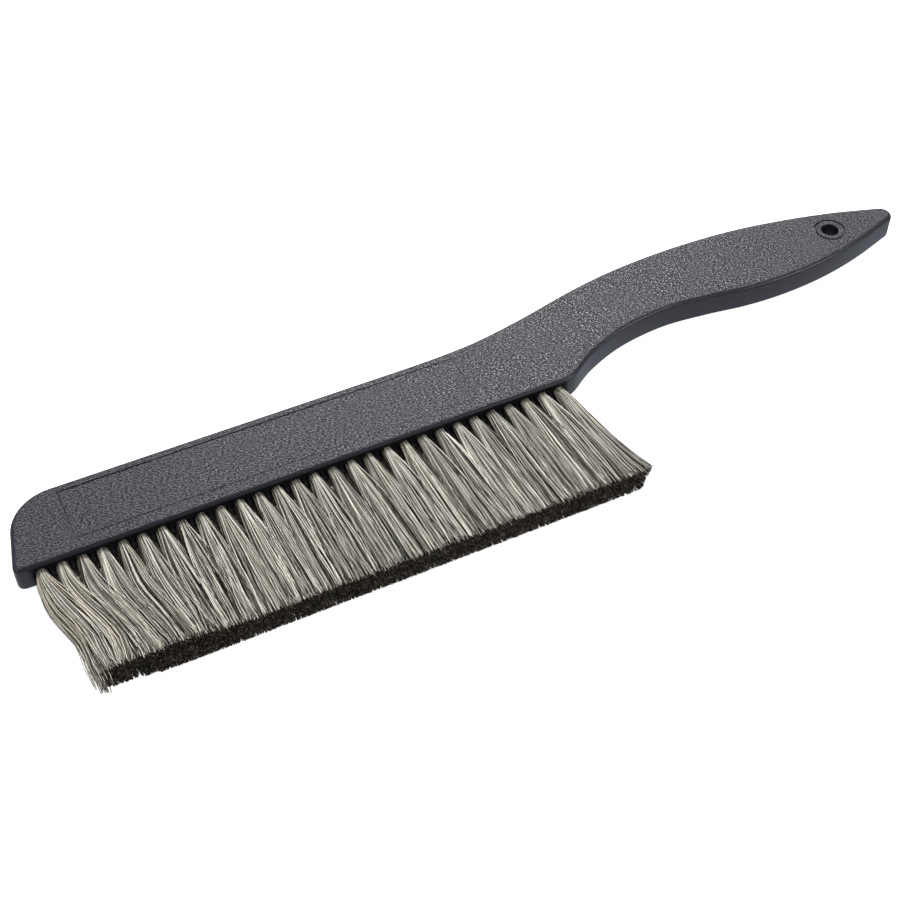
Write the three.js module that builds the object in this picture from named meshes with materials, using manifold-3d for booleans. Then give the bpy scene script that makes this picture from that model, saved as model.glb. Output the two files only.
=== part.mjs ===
// A bee brush: a one-piece moulded handle and block with a single row of hair tufts.
//
// Units are millimetres. +X runs along the brush from the block's free end to the handle's tip,
// the hair points along -Y, and +Z is up, with the brush lying on one of its broad faces.
// While it is being drawn, X starts at the block's free end and Y at its bristle face. At the end
// the whole brush is moved so that the origin is under the middle of its bounding box.

import * as THREE from "three";
import { mergeVertices } from "three/addons/utils/BufferGeometryUtils.js";
import Module from "manifold-3d";

const wasm = await Module();
wasm.setup();

// Handle and block
const THICKNESS = 10;
const MID_HEIGHT = THICKNESS / 2;
const EDGE_RADIUS = 1.2;
const BLOCK_LENGTH = 196;
const BLOCK_WIDTH = 30.5;
const BACK_CORNER_RADIUS = 17;
const FRONT_CORNER_RADIUS = 3.2;
const END_SLANT = THREE.MathUtils.degToRad(12);
const TIP_RADIUS = 4.1;
const TIP_CENTRE = { x: 353.1, y: 27.2 };
const TIP_HALF_ANGLE = THREE.MathUtils.degToRad(72);

// Hanging hole, the ring around it, and the rectangular line on the block's upper face
const HANGING_HOLE = { x: 329, y: 27.6, radius: 3.2 };
const RING = { radius: 5.45, width: 0.5, depth: 0.3 };
const FACE_LINE = { left: 21.8, right: 165.5, front: 5.4, back: 26.9, width: 0.4, depth: 0.25 };

// Tufts of hair
const TUFT_COUNT = 29;
const TUFT_PITCH = 6.65;
const FIRST_TUFT_X = 8.5;
const TUFT_RADIUS = 2.35;
const HAIR_LENGTH = 48;
const HAIR_LEAN = 7.4;
const LEAN_CURVE = 1.4;
const FAN_OUT_LENGTH = 11;
const OPEN_SIDE_RADIUS = { first: 3.4, last: 2.35 };
const TRIMMED_HALF_THICKNESS = 4.8;
const TUFT_SIDES = 12;
const GAP = 0.3;

// Tuft holes, and the flat wire anchors that hold the folded hair in them
const HOLE_RADIUS = TUFT_RADIUS + GAP;
const HOLE_DEPTH = 11;
const STEM_DEPTH = 10.4;
const ANCHOR = { thickness: 0.5, height: 1.6, length: 5.9, depth: 8.4 };

const plastic = new THREE.MeshStandardMaterial({ color: 0x3a3a3e, roughness: 0.55, metalness: 0 });
const hair = new THREE.MeshStandardMaterial({ color: 0x8e887b, roughness: 0.7, metalness: 0 });
const wire = new THREE.MeshStandardMaterial({ color: 0xb4b4b0, roughness: 0.35, metalness: 0.9 });

function toSolid(geometry) {
  const bare = geometry.clone();
  bare.deleteAttribute("normal");
  bare.deleteAttribute("uv");
  const merged = mergeVertices(bare, 1e-4);
  return new wasm.Manifold(new wasm.Mesh({
    numProp: 3,
    vertProperties: new Float32Array(merged.attributes.position.array),
    triVerts: new Uint32Array(merged.index.array),
  }));
}

function toGeometry(solid) {
  const { vertProperties, triVerts } = solid.getMesh();
  const geometry = new THREE.BufferGeometry();
  geometry.setAttribute("position", new THREE.BufferAttribute(vertProperties, 3));
  geometry.setIndex(new THREE.BufferAttribute(triVerts, 1));
  geometry.computeVertexNormals();
  return geometry;
}

function box(sizeX, sizeY, sizeZ, x, y, z) {
  return toSolid(new THREE.BoxGeometry(sizeX, sizeY, sizeZ).translate(x, y, z));
}

function uprightCylinder(radius, height, x, y, z, sides) {
  const cylinder = new THREE.CylinderGeometry(radius, radius, height, sides);
  return toSolid(cylinder.rotateX(Math.PI / 2).translate(x, y, z));
}

// The plan of the handle and block: straight bristle face, S-shaped handle with a rounded tip,
// straight back, and a slanted free end that meets the back in a large round corner.
function plan() {
  const backCentre = { x: 20, y: BLOCK_WIDTH - BACK_CORNER_RADIUS };
  const slantX = backCentre.x - BACK_CORNER_RADIUS * Math.cos(END_SLANT);
  const slantY = backCentre.y + BACK_CORNER_RADIUS * Math.sin(END_SLANT);
  const frontX = slantX - (slantY - FRONT_CORNER_RADIUS) * Math.tan(END_SLANT);
  const lowerEdge = [
    [213.3, 8.4], [229, 14.2], [248, 16.7], [266, 15.3], [283, 12.9],
    [300, 12.3], [318, 13.8], [336, 17.5],
  ];
  const upperEdge = [
    [336, 36.9], [315.4, 41.6], [293, 44.9], [268, 45.9], [243, 44.6],
    [221.5, 41.2], [200, 36.1], [180, 32.3], [165, 30.9],
  ];
  const tipDown = new THREE.Vector2(TIP_RADIUS, 0).rotateAround(new THREE.Vector2(), -TIP_HALF_ANGLE);
  const tipStart = tipDown.add(TIP_CENTRE);
  const toPoints = (pairs) => pairs.map(([x, y]) => new THREE.Vector2(x, y));

  const shape = new THREE.Shape();
  shape.moveTo(frontX + FRONT_CORNER_RADIUS, 0);
  shape.lineTo(BLOCK_LENGTH, 0);
  shape.quadraticCurveTo(BLOCK_LENGTH + 4, 0, BLOCK_LENGTH + 7.4, 2.2);
  shape.splineThru([...toPoints(lowerEdge), tipStart]);
  shape.absarc(TIP_CENTRE.x, TIP_CENTRE.y, TIP_RADIUS, -TIP_HALF_ANGLE, TIP_HALF_ANGLE, false);
  shape.splineThru([...toPoints(upperEdge), new THREE.Vector2(150, BLOCK_WIDTH)]);
  shape.lineTo(backCentre.x, BLOCK_WIDTH);
  shape.absarc(backCentre.x, backCentre.y, BACK_CORNER_RADIUS, Math.PI / 2, Math.PI - END_SLANT, false);
  shape.lineTo(frontX, FRONT_CORNER_RADIUS);
  shape.quadraticCurveTo(frontX - 0.4, 0, frontX + FRONT_CORNER_RADIUS, 0);
  return shape;
}

// A blind hole for one tuft, with a pocket on each side where the anchor bites into its wall.
function tuftHole(x) {
  const past = 1;
  const bore = new THREE.CylinderGeometry(HOLE_RADIUS, HOLE_RADIUS, HOLE_DEPTH + past, 16);
  const pocket = box(
    ANCHOR.thickness + 2 * GAP, ANCHOR.height + 2 * GAP, ANCHOR.length + 2 * GAP,
    x, ANCHOR.depth, MID_HEIGHT,
  );
  return toSolid(bore.translate(x, (HOLE_DEPTH - past) / 2, MID_HEIGHT)).add(pocket);
}

// The shallow ring engraved around the hanging hole.
function ringGroove() {
  const { x, y } = HANGING_HOLE;
  const outer = uprightCylinder(RING.radius + RING.width / 2, 2 * RING.depth, x, y, THICKNESS, 32);
  const inner = uprightCylinder(RING.radius - RING.width / 2, 3 * RING.depth, x, y, THICKNESS, 32);
  return outer.subtract(inner);
}

// The shallow rectangular line engraved on the block's upper face.
function faceLine() {
  const { left, right, front, back, width, depth } = FACE_LINE;
  const x = (left + right) / 2;
  const y = (front + back) / 2;
  const outer = box(right - left + width, back - front + width, 2 * depth, x, y, THICKNESS);
  const inner = box(right - left - width, back - front - width, 3 * depth, x, y, THICKNESS);
  return outer.subtract(inner);
}

function handleBlock(tuftPlaces) {
  const moulding = new THREE.ExtrudeGeometry(plan(), {
    depth: THICKNESS - 2 * EDGE_RADIUS,
    curveSegments: 4,
    bevelEnabled: true,
    bevelThickness: EDGE_RADIUS,
    bevelSize: EDGE_RADIUS,
    bevelOffset: -EDGE_RADIUS,
    bevelSegments: 3,
  }).translate(0, 0, EDGE_RADIUS);

  const { x, y, radius } = HANGING_HOLE;
  let solid = toSolid(moulding).subtract(uprightCylinder(radius, 3 * THICKNESS, x, y, 0, 24));
  solid = solid.subtract(ringGroove()).subtract(faceLine());
  for (const place of tuftPlaces) {
    solid = solid.subtract(tuftHole(place.x));
  }
  return toGeometry(solid);
}

// One cross-section of a tuft, at a distance below the bristle face (negative inside the block).
// It is round in the hole, then fans out until it fills the space up to its neighbours. The open
// side of the first and last tuft stays round all the way down.
function tuftSection(place, distance) {
  const along = Math.max(distance, 0) / HAIR_LENGTH;
  const fan = THREE.MathUtils.smoothstep(distance, 0, FAN_OUT_LENGTH);
  const inner = THREE.MathUtils.lerp(TUFT_RADIUS, (TUFT_PITCH - GAP) / 2, fan);
  const openRadius = place.isFirst ? OPEN_SIDE_RADIUS.first : OPEN_SIDE_RADIUS.last;
  const outer = THREE.MathUtils.lerp(TUFT_RADIUS, openRadius, fan);
  const half = THREE.MathUtils.lerp(TUFT_RADIUS, TRIMMED_HALF_THICKNESS, along ** 0.8);
  const innerSquareness = THREE.MathUtils.lerp(1, 0.4, fan);
  const centre = place.x + HAIR_LEAN * along ** LEAN_CURVE;

  const points = [];
  for (let side = 0; side < TUFT_SIDES; side += 1) {
    const angle = ((side + 0.5) / TUFT_SIDES) * 2 * Math.PI;
    const isOpenSide = Math.cos(angle) < 0 ? place.isFirst : place.isLast;
    const squareness = isOpenSide ? 1 : innerSquareness;
    const rounded = (value) => Math.sign(value) * Math.abs(value) ** squareness;
    const x = centre + rounded(Math.cos(angle)) * (isOpenSide ? outer : inner);
    points.push(new THREE.Vector3(x, -distance, MID_HEIGHT + rounded(Math.sin(angle)) * half));
  }
  return points;
}

// Joins a list of equal-sided sections into one closed solid.
function loft(sections) {
  const sides = sections[0].length;
  const geometry = new THREE.BufferGeometry().setFromPoints(sections.flat());
  const index = [];
  for (let level = 0; level + 1 < sections.length; level += 1) {
    for (let side = 0; side < sides; side += 1) {
      const a = level * sides + side;
      const b = level * sides + ((side + 1) % sides);
      index.push(a, b, b + sides, a, b + sides, a + sides);
    }
  }
  const last = (sections.length - 1) * sides;
  for (let side = 1; side + 1 < sides; side += 1) {
    index.push(0, side + 1, side);
    index.push(last, last + side, last + side + 1);
  }
  geometry.setIndex(index);
  return geometry;
}

function tuft(place) {
  const distances = [-STEM_DEPTH, 0, 4, FAN_OUT_LENGTH, 27, HAIR_LENGTH];
  const body = toSolid(loft(distances.map((distance) => tuftSection(place, distance))));
  const fold = box(
    ANCHOR.thickness + 2 * GAP, ANCHOR.height + 2 * GAP, THICKNESS,
    place.x, ANCHOR.depth, MID_HEIGHT,
  );
  return toGeometry(body.subtract(fold));
}

function named(name, geometry, material) {
  const mesh = new THREE.Mesh(geometry, material.clone());
  mesh.name = name;
  return mesh;
}

const tuftPlaces = Array.from({ length: TUFT_COUNT }, (_, number) => ({
  label: String(number + 1).padStart(2, "0"),
  x: FIRST_TUFT_X + number * TUFT_PITCH,
  isFirst: number === 0,
  isLast: number === TUFT_COUNT - 1,
}));

const brush = new THREE.Group();
brush.add(named("handle_block", handleBlock(tuftPlaces), plastic));
for (const place of tuftPlaces) {
  brush.add(named(`tuft_${place.label}`, tuft(place), hair));
  const anchor = named(
    `anchor_${place.label}`,
    new THREE.BoxGeometry(ANCHOR.thickness, ANCHOR.height, ANCHOR.length),
    wire,
  );
  anchor.position.set(place.x, ANCHOR.depth, MID_HEIGHT);
  brush.add(anchor);
}

const middle = new THREE.Box3().setFromObject(brush).getCenter(new THREE.Vector3());
brush.position.set(-middle.x, -middle.y, 0);

export default brush;
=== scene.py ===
"""A bee brush: a one-piece charcoal moulding with a single row of soft hair tufts.

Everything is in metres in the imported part's frame: +X runs along the brush to the handle's tip,
the hair points along -Y and +Z is up. Lengths written in millimetres are multiplied by MM.
"""

import math

import bmesh
import bpy
import numpy as np
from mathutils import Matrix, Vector


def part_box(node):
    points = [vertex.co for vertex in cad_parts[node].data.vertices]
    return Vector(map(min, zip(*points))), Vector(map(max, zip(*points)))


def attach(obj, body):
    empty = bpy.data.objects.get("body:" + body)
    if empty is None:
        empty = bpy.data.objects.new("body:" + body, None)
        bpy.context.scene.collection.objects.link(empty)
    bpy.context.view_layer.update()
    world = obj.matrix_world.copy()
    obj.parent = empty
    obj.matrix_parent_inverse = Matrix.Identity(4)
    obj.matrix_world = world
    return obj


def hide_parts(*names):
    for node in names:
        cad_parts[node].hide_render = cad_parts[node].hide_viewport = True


MM = 0.001
FULL_TURN = 2 * math.pi
SEED = 29

# Handle and block, as drawn: X from the block's free end, Y from its bristle face, in millimetres
TOP_EDGE = {"across": 2.1, "down": 1.5}
BOTTOM_EDGE = {"across": 1.2, "down": 1.2}
EDGE_STEPS = 8
SHARP_ANGLE = math.radians(50)
BLOCK_LENGTH = 196.0
BLOCK_WIDTH = 30.5
BACK_CORNER_RADIUS = 17.0
BACK_CORNER_X = 20.0
FRONT_CORNER_RADIUS = 3.2
FRONT_CORNER_PULL = 0.4
END_SLANT = math.radians(12)
HANDLE_TURN = {"pull": 4.0, "length": 7.4, "rise": 2.2}
TIP_RADIUS = 4.1
TIP_CENTRE = (353.1, 27.2)
TIP_HALF_ANGLE = math.radians(72)
LOWER_EDGE = [
    (213.3, 8.4), (229, 14.2), (248, 16.7), (266, 15.3), (283, 12.9),
    (300, 12.3), (318, 13.8), (336, 17.5),
]
UPPER_EDGE = [
    (336, 36.9), (315.4, 41.6), (293, 44.9), (268, 45.9), (243, 44.6),
    (221.5, 41.2), (200, 36.1), (180, 32.3), (165, 30.9), (150, 30.5),
]
FACE_LINE = {"left": 21.8, "right": 165.5, "front": 5.4, "back": 26.9}
LINE_WIDTH = 0.6
LINE_DEPTHS = {"front left": 0.32, "front right": 0.04, "back right": 0.24, "back left": 0.5}
GROOVE_STEPS = 7
HANGING_HOLE = (329.0, 27.6)
HANGING_HOLE_RADIUS = 3.2
HOLE_EDGE_RADIUS = 0.5
RING_RADIUS = 5.7
RING_WIDTH = 0.85
RING_DEPTH = 0.6
ROUND_SIDES = 48
TUFT_HOLE_RADIUS = 2.65
TUFT_HOLE_DEPTH = 11.0
TUFT_HOLE_CHAMFER = 0.15
TUFT_HOLE_SIDES = 24

# How far the painted shade that makes the bristle face near-black reaches past the first and last anchor
SHADED_ROW_MARGIN = 3.5

# The width of the narrow flat band round every edge, groove and hole, in millimetres
GUARD = 0.06

# Strands of hair, in millimetres. LEVELS are the distances out from the bristle face at which each
# strand has a cross-section. Strands in the gaps between tufts are painted dark as shade up to
# SHADED_ROOT.
STRAND_RADIUS = 0.152
STRAND_SIDES = 3
STRAND_COLUMNS = 22
STRAND_ROWS = 26
EVEN_ROWS = 5
LOCKS = 220
RIBBONS = 44
HAIR_LENGTH = 48.8
LEVELS = np.array([-7, 0, 2.5, 6, 10, 14, 18.5, 23, 27.5, 32, 36.5, 42, 48.2, 48.8])
SHADED_ROOT = 9.5

# A tuft's shape, in millimetres. The open sides are half widths at distances out from the block, and
# the lengths are how far from it each change is two thirds done.
TUFT_RADIUS = 2.35
ROOT_RADIUS = 2.15
FANNED_HALF_WIDTH = 4.6
TRIMMED_HALF_THICKNESS = 4.75
OPEN_LEFT = ([0, 4, 8, 12, 17, 26, 38, 48], [2.35, 3.8, 4.4, 5.5, 6.9, 7.1, 6.1, 5.0])
OPEN_RIGHT = ([0, 5, 15, 26, 36, 48], [2.35, 3.2, 2.8, 3.0, 4.4, 6.4])
FAN_LENGTH = 12.0
OPEN_FAN_LENGTH = 4.0
LOW_FAN_LENGTH = 1.8
SQUARING_LENGTH = 10.0
HAIR_LEAN = 0.8
LEFT_SWEEP = 8.2
RIGHT_FLARE = 3.0

# How far strands stray from the fan, in millimetres at their ends: the usual amount of each kind, and
# the waves along them
STRAY = {"drift": 0.4, "ribbon": 0.3, "lock": 0.3, "strand": 0.15, "crossed": 1.5, "frayed": 0.7}
WAVE = {"height": 0.18, "turns": 1.6}
RIPPLE = {"height": 0.12, "turns": 2.6}
LIFT = {"height": 0.16, "turns": 1.3}
CROSSING_SHARE = 0.45
CROSSING_LIMIT = 0.8
STRAND_MARGIN = 0.2
FRAYED_FROM = {"first": 0.8, "last": 0.5}

# Hair tones as (red, green, blue) in linear light: dark to light, then a tan and a cream one
TONES = [
    (0.015, 0.012, 0.008),
    (0.048, 0.035, 0.022),
    (0.085, 0.067, 0.046),
    (0.150, 0.138, 0.112),
    (0.225, 0.212, 0.182),
    (0.245, 0.235, 0.170),
    (0.210, 0.224, 0.184),
    (0.255, 0.220, 0.205),
    (0.365, 0.340, 0.296),
    (0.530, 0.495, 0.418),
    (0.745, 0.705, 0.620),
    (0.265, 0.230, 0.168),
    (0.560, 0.510, 0.400),
]
# Tones for the strands' cut ends: their own dark colour, and painted shade between the packed ends
END_TONES = [0, 1, 2, 11]
END_ODDS = [0.54, 0.20, 0.16, 0.10]
DARKEST, DARK = 0, 2
MIDDLE = [3, 4, 5, 6, 7]
LIGHT = [8, 9]
BRIGHT, TAN, CREAM = 10, 11, 12

# A strand's tone comes from its lightness. Surface strands have this lightness on average, and each
# tone starts at its own step.
SURFACE_LIGHTNESS = 0.67
TONE_STEPS = {"dark": 0.17, "middle": 0.37, "light": 0.60, "bright": 0.92}
TONE_SPREAD = {"ribbon": 0.26, "lock": 0.05, "strand": 0.36}

# Sky and camera: its place in metres, its lens and sensor in millimetres. The sky changes from pale
# blue to grey between the heights -SKY_BLEND and SKY_BLEND on a unit sphere.
SKY_BLEND = 0.3
CAMERA_AZIMUTH = math.radians(-25.95)
CAMERA_ELEVATION = math.radians(47.28)
CAMERA_PLACE = (-0.1854, -0.3248, 0.3874)
CAMERA_LENS = 61.2
CAMERA_SENSOR = 36.0


# ---------------------------------------------------------------- outlines


def catmull_rom(points, steps):
    """Points along a smooth curve through points, leaving out the first."""
    found = []
    last = len(points) - 1
    for i in range(last):
        p0, p1, p2, p3 = (np.array(points[min(max(k, 0), last)], float) for k in range(i - 1, i + 3))
        for step in range(1, steps + 1):
            t = step / steps
            found.append(
                0.5 * (2 * p1 + (p2 - p0) * t + (2 * p0 - 5 * p1 + 4 * p2 - p3) * t**2
                       + (3 * p1 - p0 - 3 * p2 + p3) * t**3)
            )
    return found


def quadratic(a, b, c, steps):
    """Points along a quadratic curve from a to c pulled towards b, leaving out the first."""
    a, b, c = (np.array(p, float) for p in (a, b, c))
    return [(1 - t) ** 2 * a + 2 * t * (1 - t) * b + t**2 * c for t in np.arange(1, steps + 1) / steps]


def arc(centre, radius, start, end, steps):
    """Points along a circular arc, leaving out the first."""
    angles = start + (end - start) * np.arange(1, steps + 1) / steps
    return [np.array([centre[0] + radius * math.cos(a), centre[1] + radius * math.sin(a)]) for a in angles]


def plan():
    """The handle and block's outline, anticlockwise. Its first side is the straight bristle face."""
    back_y = BLOCK_WIDTH - BACK_CORNER_RADIUS
    slant_x = BACK_CORNER_X - BACK_CORNER_RADIUS * math.cos(END_SLANT)
    slant_y = back_y + BACK_CORNER_RADIUS * math.sin(END_SLANT)
    front_x = slant_x - (slant_y - FRONT_CORNER_RADIUS) * math.tan(END_SLANT)
    start = (front_x + FRONT_CORNER_RADIUS, 0.0)
    points = [np.array(start), np.array([BLOCK_LENGTH, 0.0])]
    turn = (BLOCK_LENGTH + HANDLE_TURN["length"], HANDLE_TURN["rise"])
    points += quadratic((BLOCK_LENGTH, 0), (BLOCK_LENGTH + HANDLE_TURN["pull"], 0), turn, steps=8)
    tip_start = (
        TIP_CENTRE[0] + TIP_RADIUS * math.cos(TIP_HALF_ANGLE),
        TIP_CENTRE[1] - TIP_RADIUS * math.sin(TIP_HALF_ANGLE),
    )
    tip_end = (tip_start[0], 2 * TIP_CENTRE[1] - tip_start[1])
    points += catmull_rom([turn, *LOWER_EDGE, tip_start], steps=10)
    points += arc(TIP_CENTRE, TIP_RADIUS, -TIP_HALF_ANGLE, TIP_HALF_ANGLE, steps=20)
    points += catmull_rom([tip_end, *UPPER_EDGE], steps=10)
    points.append(np.array([BACK_CORNER_X, BLOCK_WIDTH]))
    back_corner = (BACK_CORNER_X, back_y)
    points += arc(back_corner, BACK_CORNER_RADIUS, math.pi / 2, math.pi - END_SLANT, steps=24)
    front_corner = (front_x, FRONT_CORNER_RADIUS)
    points.append(np.array(front_corner))
    points += quadratic(front_corner, (front_x - FRONT_CORNER_PULL, 0), start, steps=10)[:-1]
    return np.array(points)


def inset(outline, distance):
    """The outline moved inwards by distance."""
    before = outline - np.roll(outline, 1, axis=0)
    after = np.roll(outline, -1, axis=0) - outline
    before /= np.linalg.norm(before, axis=1)[:, None]
    after /= np.linalg.norm(after, axis=1)[:, None]
    normal = np.stack([-(before + after)[:, 1], (before + after)[:, 0]], axis=1)
    normal /= np.linalg.norm(normal, axis=1)[:, None]
    cosine = normal[:, 0] * -after[:, 1] + normal[:, 1] * after[:, 0]
    return outline + normal * (distance / cosine)[:, None]


def circle(centre, radius, sides):
    """Points round a circle."""
    angles = np.arange(sides) / sides * FULL_TURN
    return np.stack([centre[0] + radius * np.cos(angles), centre[1] + radius * np.sin(angles)], axis=1)


def rectangle(grow):
    """The corners of the line on the upper face, moved outwards by grow."""
    left, right = FACE_LINE["left"] - grow, FACE_LINE["right"] + grow
    front, back = FACE_LINE["front"] - grow, FACE_LINE["back"] + grow
    return np.array([(left, front), (right, front), (right, back), (left, back)])


# ---------------------------------------------------------------- the moulding


class Moulding:
    """Builds the handle and block as one closed mesh out of loops of points."""

    def __init__(self, shift):
        self.mesh = bmesh.new()
        self.shift = shift

    def loop(self, points):
        """Vertices for (x, y, z) points in the drawing's millimetres."""
        return [self.mesh.verts.new((Vector(p) + self.shift) * MM) for p in points]

    def flat_loop(self, points, z):
        """Vertices for (x, y) points at one height."""
        return self.loop([(x, y, z) for x, y in points])

    def strip(self, first, second, skip=()):
        """A band of faces between two loops of the same number of vertices."""
        count = len(first)
        for i in range(count):
            if i not in skip:
                j = (i + 1) % count
                self.mesh.faces.new((first[i], first[j], second[j], second[i]))

    def strips(self, loops):
        """Bands of faces from each loop to the next."""
        for first, second in zip(loops, loops[1:]):
            self.strip(first, second)

    def edges(self, loop):
        """The edges round a loop, made where they are missing."""
        found = []
        for a, b in zip(loop, [*loop[1:], loop[0]]):
            found.append(self.mesh.edges.get((a, b)) or self.mesh.edges.new((a, b)))
        return found

    def fill(self, *loops):
        """Flat faces between an outer loop and any loops inside it."""
        edges = [edge for loop in loops for edge in self.edges(loop)]
        bmesh.ops.triangle_fill(self.mesh, use_beauty=True, edges=edges)

    def groove(self, loops_at, z, width, depths):
        """A round-bottomed groove. loops_at(grow) gives its path's points moved outwards by grow, and
        depths has the depth at each of them."""
        loops = [self.flat_loop(loops_at(-width / 2 - GUARD), z)]
        for across in np.linspace(-1, 1, GROOVE_STEPS):
            heights = z - np.array(depths) * math.sqrt(1 - across**2)
            path = loops_at(across * width / 2)
            loops.append(self.loop([(x, y, height) for (x, y), height in zip(path, heights)]))
        loops.append(self.flat_loop(loops_at(width / 2 + GUARD), z))
        self.strips(loops)
        return loops[0], loops[-1]


def build_moulding(shift, thickness, tuft_places):
    """The whole handle and block, with its holes and grooves."""
    m = Moulding(shift)
    outline = plan()
    angles = np.linspace(0, math.pi / 2, EDGE_STEPS + 1)

    def rounded_edge(edge, face_z, inwards):
        """Loops up an edge's rounded section, from the side onto the face at height face_z."""
        loops = []
        for angle in angles:
            moved = edge["across"] * (1 - math.cos(angle))
            z = face_z + inwards * edge["down"] * (1 - math.sin(angle))
            loops.append(m.flat_loop(inset(outline, moved), z))
        loops.append(m.flat_loop(inset(outline, edge["across"] + GUARD), face_z))
        return loops

    top = rounded_edge(TOP_EDGE, thickness, -1)
    bottom = rounded_edge(BOTTOM_EDGE, 0, 1)
    m.strips(top)
    m.strips(bottom)
    bristle_side = 0
    m.strip(bottom[0], top[0], skip=(bristle_side,))

    line_inner, line_outer = m.groove(rectangle, thickness, LINE_WIDTH, list(LINE_DEPTHS.values()))
    m.fill(line_inner)

    def rounded_rim(face_z, inwards):
        """Loops up the hanging hole's rounded rim, from its wall onto the face at height face_z."""
        loops = []
        for angle in angles:
            radius = HANGING_HOLE_RADIUS + HOLE_EDGE_RADIUS * (1 - math.cos(angle))
            z = face_z + inwards * HOLE_EDGE_RADIUS * (1 - math.sin(angle))
            loops.append(m.flat_loop(circle(HANGING_HOLE, radius, ROUND_SIDES), z))
        guard_radius = HANGING_HOLE_RADIUS + HOLE_EDGE_RADIUS + GUARD
        loops.append(m.flat_loop(circle(HANGING_HOLE, guard_radius, ROUND_SIDES), face_z))
        return loops

    def ring_path(grow):
        """The ring round the hanging hole, moved outwards by grow."""
        return circle(HANGING_HOLE, RING_RADIUS + grow, ROUND_SIDES)

    ring_depths = [RING_DEPTH] * ROUND_SIDES
    ring_inner, ring_outer = m.groove(ring_path, thickness, RING_WIDTH, ring_depths)
    upper_rim = rounded_rim(thickness, -1)
    lower_rim = rounded_rim(0, 1)
    m.strips(upper_rim)
    m.strips(lower_rim)
    m.strip(upper_rim[0], lower_rim[0])
    m.fill(ring_inner, upper_rim[-1])
    m.fill(top[-1], line_outer, ring_outer)
    m.fill(bottom[-1], lower_rim[-1])

    mouths = []
    mouth_radius = TUFT_HOLE_RADIUS + TUFT_HOLE_CHAMFER
    for x, z in tuft_places:
        loops = []
        for radius, depth in (
            (mouth_radius + GUARD, 0), (mouth_radius, 0),
            (TUFT_HOLE_RADIUS, TUFT_HOLE_CHAMFER), (TUFT_HOLE_RADIUS, TUFT_HOLE_DEPTH),
        ):
            section = circle((x, z), radius, TUFT_HOLE_SIDES)
            loops.append(m.loop([(px, depth, pz) for px, pz in section]))
        m.strips(loops)
        m.mesh.faces.new(loops[-1])
        mouths.append(loops[0])
    side = [bottom[0][0], bottom[0][1], top[0][1], top[0][0]]
    m.fill(side, *mouths)

    bmesh.ops.recalc_face_normals(m.mesh, faces=m.mesh.faces)
    data = bpy.data.meshes.new("handle_block_moulding")
    m.mesh.to_mesh(data)
    m.mesh.free()
    data.shade_smooth()
    data.set_sharp_from_angle(angle=SHARP_ANGLE)
    return data


# ---------------------------------------------------------------- hair


def unit(vectors):
    """The same vectors, each with a length of 1."""
    return vectors / np.linalg.norm(vectors, axis=-1, keepdims=True)


def smooth(x):
    """0 to 1 as x goes from 0 to 1, level at both ends."""
    x = np.clip(x, 0, 1)
    return x**2 * (3 - 2 * x)


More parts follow.
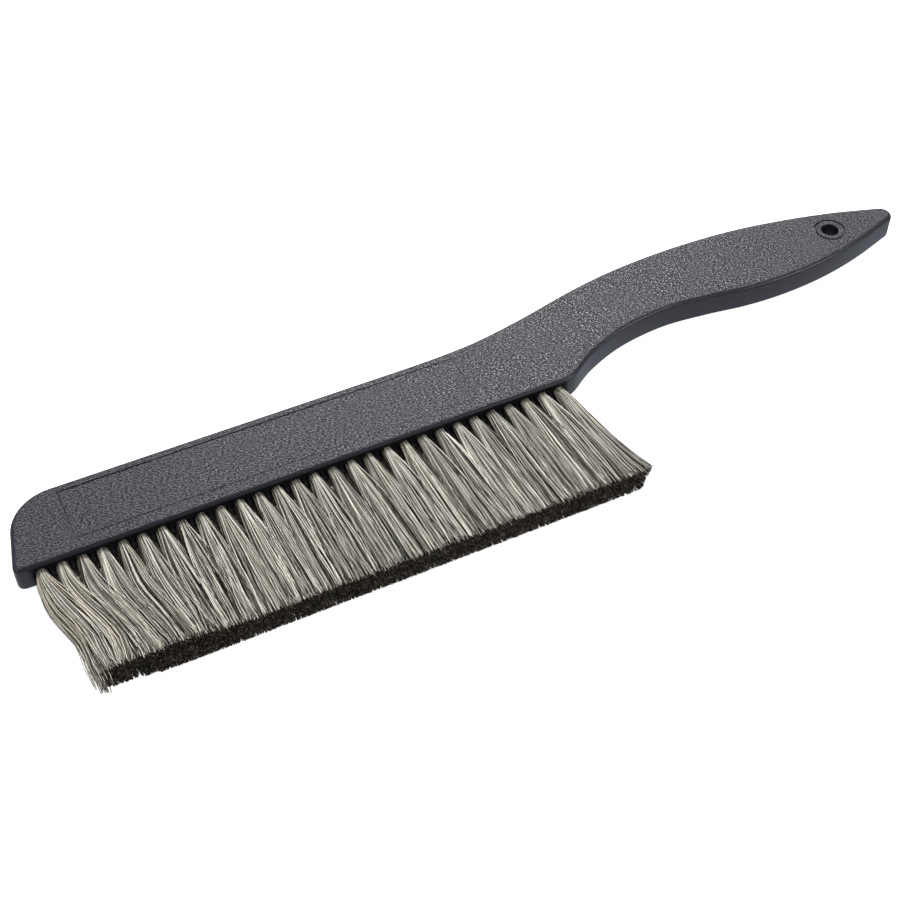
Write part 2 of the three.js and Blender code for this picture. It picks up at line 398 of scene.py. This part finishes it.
class Tuft:
    """One tuft's strands, from 0 for the first tuft to count - 1 for the last. u and v are where each
    strand is in the tuft, from -1 to 1 across it and up it. lock and ribbon are the small bundle and
    the upright band of the tuft that it belongs to. Open strands are on the row's two open sides, and
    the frayed ones are the outermost of them. outer grows from 0 to 1 towards an open side, and loose
    from 0 to 1 up from the underside."""

    def __init__(self, number, count):
        self.number = number
        self.rng = np.random.default_rng(SEED + number)
        self.is_first = number == 0
        self.is_last = number == count - 1
        self.u, self.v = self.grid()
        self.total = len(self.u)

        self.disc_u = self.u * np.sqrt(1 - self.v**2 / 2)
        self.disc_v = self.v * np.sqrt(1 - self.u**2 / 2)
        self.is_open = (self.is_first & (self.u < 0)) | (self.is_last & (self.u > 0))
        self.end_v = np.where(self.is_open, self.disc_v, self.v)
        frayed_from = FRAYED_FROM["first" if self.is_first else "last"]
        self.frayed = self.is_open & (np.abs(self.u) > frayed_from)
        outer_reach = 0.5
        loose_reach = 0.6
        self.outer = (self.is_open * smooth(np.abs(self.u) / outer_reach))[:, None]
        self.loose = smooth((self.v + 1) / loose_reach)[:, None]

        seeds = self.rng.random((LOCKS, 2)) * 2 - 1
        across = (self.u[:, None] - seeds[:, 0]) ** 2
        upwards = (self.v[:, None] - seeds[:, 1]) ** 2
        flatness = 1.5
        self.lock = (across + flatness * upwards).argmin(axis=1)
        ribbon_slant = 0.6
        slant = ribbon_slant * np.sin(3 * self.v + self.rng.random() * FULL_TURN)
        ribbon = ((self.u + 1) / 2 * RIBBONS + slant).astype(int)
        self.ribbon = np.clip(ribbon, 0, RIBBONS - 1)

    def grid(self):
        """Scattered places for the strands. The lowest rows close the gaps between the tufts, so they
        are staggered and set more evenly."""
        even_scatter = 0.3
        stagger_share = 0.25
        columns, rows = np.meshgrid(np.arange(STRAND_COLUMNS), np.arange(STRAND_ROWS))
        column, row = columns.ravel(), rows.ravel()
        scatter = (self.rng.random(row.size) - 0.5) * np.interp(row, [0, EVEN_ROWS], [even_scatter, 1.0])
        stagger = np.where(row < EVEN_ROWS, stagger_share * (-1.0) ** row, 0)
        u = (column + 0.5 + stagger + scatter) / STRAND_COLUMNS * 2 - 1
        v = (row + self.rng.random(row.size)) / STRAND_ROWS * 2 - 1
        return u, v

    def lean(self, t):
        """How far the tuft's middle leans towards +X at share t of its length. The first tufts are
        swept sideways in an S, and the last one flares outwards."""
        swept_tufts = 7
        swept = LEFT_SWEEP * (1 - smooth((self.number - 1) / swept_tufts))
        sweep_share = 0.7
        latest_start = 0.3
        start = min(0.1 * self.number, latest_start)
        flare = RIGHT_FLARE if self.is_last else 0
        return swept * smooth((t - start) / sweep_share) + (HAIR_LEAN + flare) * t

    def fan(self, d, t):
        """How far each strand is from the tuft's middle, across it and up it, at distance d out from
        the bristle face. A tuft is round at its root and square at its end, apart from open sides.
        Its lower strands spread out first. The first tufts are thinner on top."""
        corner_cut = 0.4
        top_pinch = 0.3
        low_reach = 0.3
        thinned_tufts = 5
        thickening = 0.8
        u, v = self.u[:, None], self.v[:, None]
        is_open = self.is_open[:, None]
        low = smooth((low_reach - v) / (2 * low_reach))
        spread_top = 1 - np.exp(-d / np.where(is_open & self.is_first, OPEN_FAN_LENGTH, FAN_LENGTH))
        spread_low = 1 - np.exp(-d / LOW_FAN_LENGTH)
        spread = spread_top + (spread_low - spread_top) * low
        width = TUFT_RADIUS + (FANNED_HALF_WIDTH - TUFT_RADIUS) * spread
        left = np.interp(d, *OPEN_LEFT) if self.is_first else width
        right = np.interp(d, *OPEN_RIGHT) if self.is_last else width
        corner_share = np.where(is_open, 1 - corner_cut * v**4, 1)
        fanned = (right - left) / 2 + u * (right + left) / 2 * corner_share
        pinched = self.disc_u[:, None] * (1 - top_pinch * np.clip(v, 0, 1))
        across = pinched * ROOT_RADIUS * (1 - spread) + fanned * spread

        half = TUFT_RADIUS + (TRIMMED_HALF_THICKNESS - TUFT_RADIUS) * t**thickening
        half = half - math.exp(-self.number / thinned_tufts) * t * (v > 0)
        square = 1 - np.exp(-d / SQUARING_LENGTH)
        rounded = self.disc_v[:, None] * ROOT_RADIUS / TUFT_RADIUS
        height = (rounded * (1 - square) + self.end_v[:, None] * square) * half
        return across, height

    def gather(self, across, height, t):
        """Draws the strands of each lock together along the middle of their length, but not along the
        underside or at an open side."""
        tightest = 0.25
        height_share = 0.6
        closed_at = 0.3
        opens_at = 0.8
        opened_share = 0.8
        closing = np.clip(t / closed_at, 0, 1)
        opening = 1 - opened_share * np.clip((t - opens_at) / (1 - opens_at), 0, 1)
        tightness = tightest * closing * opening * (1 - self.outer) * self.loose
        for lock in range(LOCKS):
            own = self.lock == lock
            if own.any():
                across[own] += (across[own].mean(axis=0) - across[own]) * tightness[own]
                height[own] += (height[own].mean(axis=0) - height[own]) * tightness[own] * height_share

    def stray(self, t):
        """How far each strand wanders sideways and upwards. The first tufts are the untidiest, some
        strands cross their neighbours, and none crosses far out of an open side."""
        rng = self.rng
        drift_knots = 7
        drifts = rng.normal(0, STRAY["drift"], drift_knots)
        drift = np.interp(self.u, np.linspace(-1, 1, drift_knots), drifts)
        drift += (
            rng.normal(0, STRAY["ribbon"], RIBBONS)[self.ribbon]
            + rng.normal(0, STRAY["lock"], LOCKS)[self.lock]
            + rng.normal(0, STRAY["strand"], self.total)
        )
        open_calm = 0.7
        drift = drift[:, None] * t * self.loose * (1 - open_calm * self.outer)

        def swing(kind, phase):
            """A sideways or upwards wave along each strand."""
            return kind["height"] * np.sin(FULL_TURN * kind["turns"] * t + phase[:, None])

        untidy_tufts = 3
        untidy = 1 + math.exp(-self.number / untidy_tufts)
        phase = rng.random((LOCKS, 2))[self.lock] * FULL_TURN
        wave = untidy * swing(WAVE, phase[:, 0]) * t
        ripple = untidy * swing(RIPPLE, rng.random(self.total) * FULL_TURN) * t
        lift = swing(LIFT, phase[:, 1]) * np.sqrt(t) * (1 - 0.8 * t) * self.loose

        underside = -0.7
        crossing = (rng.random(self.total) < CROSSING_SHARE) & (self.v > underside)
        crossed = np.where(crossing, rng.normal(0, STRAY["crossed"], self.total), 0)[:, None] * t
        if self.is_first:
            crossed = np.maximum(crossed, -CROSSING_LIMIT)
        if self.is_last:
            crossed = np.minimum(crossed, CROSSING_LIMIT)
        frayed = np.where(self.frayed, rng.normal(0, STRAY["frayed"], self.total), 0)
        crossed = crossed + frayed[:, None] * t**2
        return drift + wave + ripple + crossed, lift

    def trim(self):
        """How far each strand reaches past the cut end. The uppermost strands are ragged, the first
        tufts are shorter, and the last tuft's open side is cut back."""
        rng, total, end_v = self.rng, self.total, self.end_v
        on_top = end_v > 0.85
        ragged = {"middle": -0.5, "spread": 0.7}
        clean_spread = 0.06
        short_share = 0.1
        shortest = 3.0
        uppermost = rng.normal(ragged["middle"], ragged["spread"], total)
        trim = np.where(on_top, uppermost, rng.normal(0, clean_spread, total))
        is_short = on_top & (rng.random(total) < short_share)
        trim = np.where(is_short, -rng.random(total) * shortest, trim)
        short_top = 2.2 * smooth((8 - self.number) / 4)
        short_low = 1.4 * smooth((3 - self.number) / 2)
        trim = trim - short_low - (short_top - short_low) * smooth((end_v + 1) / 2)
        frayed_reach = 0.2 + rng.random(total) * 1.7
        trim = np.where(self.frayed & self.is_first, frayed_reach, trim)
        if self.is_last:
            cut_back = 0.9 + 2.1 * (1 - end_v)
            trim = trim - cut_back * smooth((self.u - 0.1) / 0.9)
        return trim

    def paths(self, root_x, mid_z):
        """The strands' centre lines, as (strand, level, xyz) in the drawing's millimetres."""
        d = np.clip(LEVELS, 0, None)[None, :]
        t = d / HAIR_LENGTH
        across, height = self.fan(d, t)
        self.gather(across, height, t)
        sideways, upwards = self.stray(t)
        trim = self.trim()
        x = root_x + across + self.lean(t) + sideways
        y = np.repeat(-LEVELS[None, :], self.total, axis=0)
        y[:, -1] -= trim
        y[:, -2] -= np.minimum(trim, 0)
        z = np.clip(mid_z + height + upwards, STRAND_MARGIN, 2 * mid_z - STRAND_MARGIN)
        return np.stack([x, y, z], axis=2)

    def tones(self):
        """A tone for each strand. They are lightest at the tuft's surface and painted darker inside it as
        shade, with painted shade towards the tuft's sides and painted light on the first tuft's open left
        side, and the first tufts have the most tan and cream ones."""
        rng, total, u, v = self.rng, self.total, self.u, self.end_v
        plain = rng.normal(0, TONE_SPREAD["ribbon"], RIBBONS)
        streak = plain - (np.roll(plain, 1) + np.roll(plain, -1)) / 3
        varied = (
            streak[self.ribbon]
            + rng.normal(0, TONE_SPREAD["lock"], LOCKS)[self.lock]
            + rng.normal(0, TONE_SPREAD["strand"], total)
        )
        on_surface = v > 0.8
        value = SURFACE_LIGHTNESS + varied - varied[on_surface].mean()
        # Strands deeper inside the tuft get darker tones: painted shade
        inside_painted_shade = 0.40
        surface_depth = 0.15
        depth = 1 - np.abs(v)
        value -= inside_painted_shade * np.clip(depth - surface_depth, 0, 1)
        # Painted shading across the tuft: darker towards its sides, lighter on the first tuft's open left
        # side
        left_painted_shading = 0.10 if self.is_first else -0.05
        right_painted_shading = -0.12
        value += np.where(u < 0, left_painted_shading * -u, right_painted_shading * u)

        middle = rng.choice(MIDDLE, total, p=rng.dirichlet([1.2] * len(MIDDLE)))
        light = rng.choice(LIGHT, total)
        warm_share = 0.5 * math.exp(-1.2 * self.number)
        warm = rng.random(total) < warm_share
        middle = np.where(warm, TAN, middle)
        light = np.where(warm, CREAM, light)
        tone = np.full(total, DARK)
        tone = np.where(value > TONE_STEPS["middle"], middle, tone)
        tone = np.where(value > TONE_STEPS["light"], light, tone)
        tone = np.where(value > TONE_STEPS["bright"], BRIGHT, tone)
        return np.where(value < TONE_STEPS["dark"], DARKEST, tone)

    def cut_tones(self):
        """A dark tone for each strand's cut end: partly the ends' own colour, partly painted shade between
        the packed ends.
        """
        cut = self.rng.choice(END_TONES, LOCKS, p=END_ODDS)[self.lock]
        odd_share = 0.35
        is_odd = self.rng.random(self.total) < odd_share
        return np.where(is_odd, self.rng.choice(END_TONES, self.total, p=END_ODDS), cut)

    def mesh(self, name, paths, tones):
        """One closed three-sided tube for each strand, joined in one mesh. The lowest strands are
        coarser. Strands inside the tuft have dark cut ends, partly their own dark colour and partly
        painted shade, and those that fill the gap to the next tuft are painted dark near their roots as
        shade."""
        levels, v = len(LEVELS), self.end_v
        tangent = unit(np.gradient(paths, axis=1))
        side = unit(np.array([1.0, 0, 0]) - tangent * tangent[..., :1])
        other = np.cross(tangent, side)
        corner = np.arange(STRAND_SIDES)
        roll = self.rng.random(self.total)[:, None, None] * FULL_TURN
        angle = roll + corner / STRAND_SIDES * FULL_TURN
        end_taper = 0.8
        taper = np.interp(LEVELS, [0, HAIR_LENGTH], [1.0, end_taper])
        coarse = 1 + 0.6 * smooth((-0.6 - v) / 0.3)
        thinnest, thickness_range = 0.65, 0.7
        thickness = coarse * (thinnest + thickness_range * self.rng.random(self.total))
        radius = (STRAND_RADIUS * thickness[:, None] * taper)[:, :, None, None]
        vertices = (
            paths[:, :, None, :]
            + radius * np.cos(angle)[..., None] * side[:, :, None, :]
            + radius * np.sin(angle)[..., None] * other[:, :, None, :]
        )
        base = np.arange(self.total)[:, None] * levels * STRAND_SIDES
        ring = base[:, :, None] + (np.arange(levels - 1) * STRAND_SIDES)[None, :, None]
        a = ring + corner
        b = ring + (corner + 1) % STRAND_SIDES
        quads = np.stack([a, b, b + STRAND_SIDES, a + STRAND_SIDES], axis=-1).reshape(-1, 4)
        start_caps = base + corner[::-1]
        end_caps = base + (levels - 1) * STRAND_SIDES + corner

        data = bpy.data.meshes.new(name)
        data.from_pydata(
            (vertices.reshape(-1, 3) * MM).tolist(), [],
            quads.tolist() + start_caps.tolist() + end_caps.tolist(),
        )
        cut = self.cut_tones()
        shade = np.repeat(tones[:, None], (levels - 1) * STRAND_SIDES, axis=1)
        # Strands that fill the gap to the next tuft are painted darkest near their roots as shade
        shaded_levels = (LEVELS < SHADED_ROOT).sum() - 1
        gap_shade_strands = (v > -0.8) & (v < 0.15)
        shade[gap_shade_strands, : shaded_levels * STRAND_SIDES] = DARKEST
        # Inside strands get a dark last segment: partly dark cut ends, partly painted shade in the trimmed
        # face
        is_inside = v < 0.88
        dark_and_shaded_end = is_inside & ~self.frayed
        shade[dark_and_shaded_end, -STRAND_SIDES:] = cut[dark_and_shaded_end, None]
        end_cap_tones = np.where(self.frayed, tones, cut)
        slots = np.concatenate([shade.ravel(), tones, end_cap_tones])
        data.polygons.foreach_set("material_index", slots.astype(np.int32))
        data.shade_smooth()
        data.update()
        return data


# ---------------------------------------------------------------- materials


class Nodes:
    """A short way to write a node tree."""

    def __init__(self, name):
        self.material = bpy.data.materials.new(name)
        self.material.use_nodes = True
        self.tree = self.material.node_tree
        self.principled = self.tree.nodes["Principled BSDF"]

    def add(self, kind, inputs=None, **settings):
        """A node with some of its inputs and settings given."""
        node = self.tree.nodes.new(kind)
        for key, value in settings.items():
            setattr(node, key, value)
        for key, value in (inputs or {}).items():
            self.put(node.inputs[key], value)
        return node

    def put(self, socket, value):
        """Joins an output to the socket, or sets the socket to a plain value."""
        if isinstance(value, bpy.types.NodeSocket):
            self.tree.links.new(value, socket)
        else:
            socket.default_value = value

    def maths(self, operation, a, b=0.0, clamp=False):
        """The result of an operation on two numbers."""
        node = self.add("ShaderNodeMath", {0: a, 1: b}, operation=operation, use_clamp=clamp)
        return node.outputs[0]

    def ramp(self, value, low, high, from_low=0.0, from_high=1.0):
        """value from (from_low, from_high) to (low, high), clamped."""
        node = self.add(
            "ShaderNodeMapRange",
            {"Value": value, "From Min": from_low, "From Max": from_high, "To Min": low, "To Max": high},
        )
        return node.outputs["Result"]

    def blend(self, share, a, b):
        """A number share of the way from a to b."""
        node = self.add("ShaderNodeMix", {0: share, 2: a, 3: b}, data_type="FLOAT")
        return node.outputs[0]

    def position(self):
        """Where a point is on its object, in metres."""
        return self.add("ShaderNodeTexCoord").outputs["Object"]

    def stretched(self, vector, scale):
        """The vector with its X, Y and Z multiplied by scale."""
        return self.add("ShaderNodeMapping", {"Vector": vector, "Scale": scale}).outputs[0]

    def noise(self, vector, scale, detail):
        """Random mottling with about scale patches to a unit of the vector."""
        node = self.add("ShaderNodeTexNoise", {"Vector": vector, "Scale": scale, "Detail": detail})
        return node.outputs["Fac"]

    def mix(self, share, a, b):
        """A colour share of the way from a to b."""
        node = self.add("ShaderNodeMix", data_type="RGBA")
        self.put(node.inputs["Factor"], share)
        self.put(node.inputs["A"], a)
        self.put(node.inputs["B"], b)
        return node.outputs["Result"]


def colour(r, g, b):
    """A colour in linear light, opaque."""
    return (r, g, b, 1.0)


def plastic_material(front_y, row_start, row_end, fade_start, fade_end):
    """Charcoal moulding: leathery grain on the broad faces, with painted shade in its valleys, that fades
    between fade_start and fade_end along X; smooth edges whose darker, bluer colour is painted shade and a
    painted reflected blue tint; and painted shade that makes the bristle face near-black between row_start
    and row_end."""
    n = Nodes("charcoal_moulding")
    place = n.position()
    normal = n.add("ShaderNodeSeparateXYZ", {0: n.add("ShaderNodeNewGeometry").outputs["Normal"]})
    at = n.add("ShaderNodeSeparateXYZ", {0: place})
    flat = n.ramp(n.maths("ABSOLUTE", normal.outputs["Z"]), 0, 1, 0.90, 0.995)

    def folds(turn):
        """Short wrinkles running along the direction turned by turn from +X."""
        turned = n.add("ShaderNodeMapping", {"Vector": place, "Rotation": (0, 0, -turn)}).outputs[0]
        folds_per_metre = (1100.0, 2500.0, 1500.0)
        drawn_out = n.stretched(turned, folds_per_metre)
        return n.ramp(n.noise(drawn_out, 1.0, 1.5), 0, 1, 0.38, 0.60)

    along = n.ramp(at.outputs["X"], 0, 1, -0.12, 0.10)
    uneven = n.ramp(n.noise(place, 90.0, 1.0), -0.6, 0.6, 0.35, 0.65)
    turned_share = n.maths("ADD", along, uneven, clamp=True)
    wrinkles = n.blend(turned_share, folds(-0.5), folds(0.3))
    fine = n.noise(place, 3400.0, 1.0)
    wrinkle_share, fine_share = 0.85, 0.15
    coarse_part = n.maths("MULTIPLY", wrinkles, wrinkle_share)
    grain = n.maths("ADD", coarse_part, n.maths("MULTIPLY", fine, fine_share))
    fading = n.ramp(at.outputs["X"], 1.0, 0.6, fade_start, fade_end)
    middle_grain = 0.5
    contrast = n.maths("MULTIPLY", n.maths("SUBTRACT", grain, middle_grain), fading)
    grain = n.maths("ADD", contrast, middle_grain)

    # The grain's valleys are painted darker than its ridges as shade, mottled at random between blue and
    # grey
    blue_valley_shade = colour(0.005, 0.004, 0.013)
    grey_valley_shade = colour(0.010, 0.009, 0.013)
    ridge = colour(0.048, 0.046, 0.059)
    # The smooth sides and rounded edges: a darker, bluer colour than the faces that paints their shade and
    # a reflected blue tint
    edge = colour(0.010, 0.0115, 0.0185)
    # Painted shade: a near-black colour for the bristle face, standing in for the shade under the hair
    bristle_face_painted_shade = colour(0.008, 0.008, 0.009)
    patch = n.ramp(n.noise(place, 22.0, 3.0), 0, 1, 0.35, 0.65)
    face = n.mix(n.ramp(grain, 0, 1, 0.3, 0.9), n.mix(patch, blue_valley_shade, grey_valley_shade), ridge)
    body = n.mix(flat, edge, face)
    facing_hair = n.ramp(normal.outputs["Y"], 1, 0, -0.99, -0.9)
    tolerance = 0.2 * MM
    in_front = n.maths("LESS_THAN", at.outputs["Y"], front_y + tolerance)
    in_row = n.maths(
        "MULTIPLY", n.ramp(at.outputs["X"], 0, 1, row_start - MM, row_start + MM),
        n.ramp(at.outputs["X"], 1, 0, row_end - MM, row_end + MM),
    )
    # Where the bristle face gets its painted shade: facing the hair, at the front, along the row of tufts
    in_bristle_face_shade = n.maths("MULTIPLY", n.maths("MULTIPLY", facing_hair, in_front), in_row)
    body = n.mix(in_bristle_face_shade, body, bristle_face_painted_shade)
    n.put(n.principled.inputs["Base Color"], body)

    edge_roughness = 0.38
    rough = n.blend(flat, edge_roughness, n.ramp(grain, 0.60, 0.47, 0.3, 0.8))
    n.put(n.principled.inputs["Roughness"], rough)
    # The bristle face's shine is low so that its painted shade stays near-black
    edge_shine, bristle_face_shine = 0.5, 0.08
    shine = n.maths("MULTIPLY", n.ramp(grain, 0.24, 0.71, 0.3, 0.8), fading)
    shine = n.blend(in_bristle_face_shade, n.blend(flat, edge_shine, shine), bristle_face_shine)
    n.put(n.principled.inputs["Specular IOR Level"], shine)
    grain_depth = 0.20 * MM
    edge_bump = 0.05
    bump = n.add(
        "ShaderNodeBump",
        {"Strength": n.ramp(flat, edge_bump, 1.0), "Distance": grain_depth, "Height": grain},
    )
    n.put(n.principled.inputs["Normal"], bump.outputs["Normal"])
    return n.material


def hair_material(name, rgb):
    """One tone of hair, with a broken sheen along the strands."""
    n = Nodes(name)
    n.principled.inputs["Base Color"].default_value = colour(*rgb)
    n.principled.inputs["Roughness"].default_value = 0.42
    streak = n.stretched(n.position(), (2400.0, 160.0, 2400.0))
    broken = n.noise(streak, 1.0, 2.0)
    shine = min(1.0, 0.3 + 3 * rgb[0])
    sheen = n.ramp(broken, 0.15 * shine, 0.75 * shine, 0.35, 0.65)
    n.put(n.principled.inputs["Specular IOR Level"], sheen)
    return n.material


def wire_material():
    """Drawn flat wire with fine lines along it."""
    n = Nodes("anchor_wire")
    lines = n.stretched(n.position(), (9000.0, 9000.0, 400.0))
    drawn = n.noise(lines, 1.0, 2.0)
    grey = n.mix(drawn, colour(0.42, 0.42, 0.41), colour(0.60, 0.60, 0.58))
    n.put(n.principled.inputs["Base Color"], grey)
    n.put(n.principled.inputs["Roughness"], n.ramp(drawn, 0.28, 0.5, 0.3, 0.7))
    n.principled.inputs["Metallic"].default_value = 1.0
    return n.material


def studio_material():
    """White surroundings, bright enough that the brush's shadow stays faint."""
    n = Nodes("studio_white")
    n.principled.inputs["Base Color"].default_value = colour(0.93, 0.93, 0.93)
    n.principled.inputs["Roughness"].default_value = 0.9
    n.principled.inputs["Specular IOR Level"].default_value = 0.0
    n.principled.inputs["Emission Color"].default_value = colour(1.0, 1.0, 1.0)
    n.principled.inputs["Emission Strength"].default_value = 0.85
    return n.material


# ---------------------------------------------------------------- surroundings


def add_object(name, data):
    """A new object in the scene."""
    made = bpy.data.objects.new(name, data)
    bpy.context.scene.collection.objects.link(made)
    return made


def add_surroundings():
    """A floor just under the brush, and a dome round it that is only a background."""
    white = studio_material()
    reach = 12.0
    dome_radius = 0.9 * reach
    floor_z = -0.4 * MM
    data = bpy.data.meshes.new("floor")
    corners = [(-reach, -reach), (reach, -reach), (reach, reach), (-reach, reach)]
    data.from_pydata([(x, y, floor_z) for x, y in corners], [], [(0, 1, 2, 3)])
    floor = add_object("floor", data)

    mesh = bmesh.new()
    bmesh.ops.create_uvsphere(mesh, u_segments=64, v_segments=32, radius=dome_radius)
    data = bpy.data.meshes.new("backdrop")
    mesh.to_mesh(data)
    mesh.free()
    data.shade_smooth()
    backdrop = add_object("backdrop", data)
    backdrop.visible_shadow = False

    for stage in (floor, backdrop):
        stage.data.materials.append(white)
        stage.visible_glossy = False
        stage.visible_diffuse = False


def add_area_light(name, place, size, power):
    """A round white light at place, in metres and watts, aimed at the middle of the brush."""
    data = bpy.data.lights.new(name, "AREA")
    data.shape = "DISK"
    data.size = size
    data.energy = power
    light = add_object(name, data)
    light.location = place
    light.rotation_euler = (-Vector(place)).to_track_quat("-Z", "Y").to_euler()


def add_lights():
    """A key light behind the brush, two weak fills, and a sky that is pale blue below and grey above."""
    add_area_light("key", (0.94, 1.45, 1.62), size=0.95, power=77.0)
    add_area_light("right fill", (0.9, -0.8, 0.7), size=0.6, power=5.0)
    add_area_light("left fill", (-0.9, 0.1, 0.9), size=0.8, power=3.5)
    world = bpy.data.worlds.new("studio")
    world.use_nodes = True
    tree = world.node_tree
    direction = tree.nodes.new("ShaderNodeTexCoord")
    parts = tree.nodes.new("ShaderNodeSeparateXYZ")
    upwards = tree.nodes.new("ShaderNodeMapRange")
    upwards.inputs["From Min"].default_value = -SKY_BLEND
    upwards.inputs["From Max"].default_value = SKY_BLEND
    sky = tree.nodes.new("ShaderNodeMix")
    sky.data_type = "RGBA"
    sky.inputs["A"].default_value = colour(0.68, 0.72, 0.80)
    sky.inputs["B"].default_value = colour(0.28, 0.28, 0.28)
    tree.links.new(direction.outputs["Generated"], parts.inputs[0])
    tree.links.new(parts.outputs["Z"], upwards.inputs["Value"])
    tree.links.new(upwards.outputs["Result"], sky.inputs["Factor"])
    tree.links.new(sky.outputs["Result"], tree.nodes["Background"].inputs["Color"])
    bpy.context.scene.world = world


def add_camera():
    """A camera in front of the hair and to the left, looking down at the brush."""
    data = bpy.data.cameras.new("camera")
    data.lens = CAMERA_LENS
    data.sensor_width = CAMERA_SENSOR
    camera = add_object("camera", data)
    look = Vector((
        -math.sin(CAMERA_AZIMUTH) * math.cos(CAMERA_ELEVATION),
        math.cos(CAMERA_AZIMUTH) * math.cos(CAMERA_ELEVATION),
        -math.sin(CAMERA_ELEVATION),
    ))
    camera.location = CAMERA_PLACE
    camera.rotation_euler = look.to_track_quat("-Z", "Y").to_euler()
    bpy.context.scene.camera = camera


# ---------------------------------------------------------------- the brush


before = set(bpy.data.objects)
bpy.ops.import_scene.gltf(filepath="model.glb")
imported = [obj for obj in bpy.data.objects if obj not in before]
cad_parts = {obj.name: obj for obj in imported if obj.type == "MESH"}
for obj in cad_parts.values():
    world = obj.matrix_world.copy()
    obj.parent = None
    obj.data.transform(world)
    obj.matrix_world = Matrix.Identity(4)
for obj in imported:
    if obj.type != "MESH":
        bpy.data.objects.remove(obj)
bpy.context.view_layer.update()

block_low, block_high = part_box("handle_block")
outline = plan()
shift = Vector((
    block_low.x / MM - outline[:, 0].min(),
    block_high.y / MM - outline[:, 1].max(),
    block_low.z / MM,
))
thickness = (block_high.z - block_low.z) / MM
tuft_names = sorted(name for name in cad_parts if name.startswith("tuft_"))
anchor_names = sorted(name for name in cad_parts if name.startswith("anchor_"))
anchor_middles = [(low + high) / 2 for low, high in (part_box(name) for name in anchor_names)]
tuft_places = [(middle.x / MM - shift.x, middle.z / MM) for middle in anchor_middles]

moulding = add_object("moulding", build_moulding(shift, thickness, tuft_places))
moulding.data.materials.append(plastic_material(
    shift.y * MM,
    (tuft_places[0][0] - SHADED_ROW_MARGIN + shift.x) * MM,
    (tuft_places[-1][0] + SHADED_ROW_MARGIN + shift.x) * MM,
    (BLOCK_LENGTH + shift.x) * MM,
    (HANGING_HOLE[0] + shift.x) * MM,
))
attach(moulding, "root")
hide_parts("handle_block")

tone_materials = [hair_material(f"hair_tone_{i + 1:02d}", rgb) for i, rgb in enumerate(TONES)]
for number, (name, (x, z)) in enumerate(zip(tuft_names, tuft_places)):
    tuft = Tuft(number, len(tuft_names))
    paths = tuft.paths(x, z) + np.array([shift.x, shift.y, 0])
    mesh = tuft.mesh(f"hair_{number + 1:02d}", paths, tuft.tones())
    for material in tone_materials:
        mesh.materials.append(material)
    hair = add_object(f"hair_{number + 1:02d}", mesh)
    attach(hair, "root")
    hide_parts(name)

wire = wire_material()
for name in anchor_names:
    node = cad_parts[name]
    node.data.materials.clear()
    node.data.materials.append(wire)

add_surroundings()
add_lights()
add_camera()
bpy.context.scene.view_settings.view_transform = "Standard"
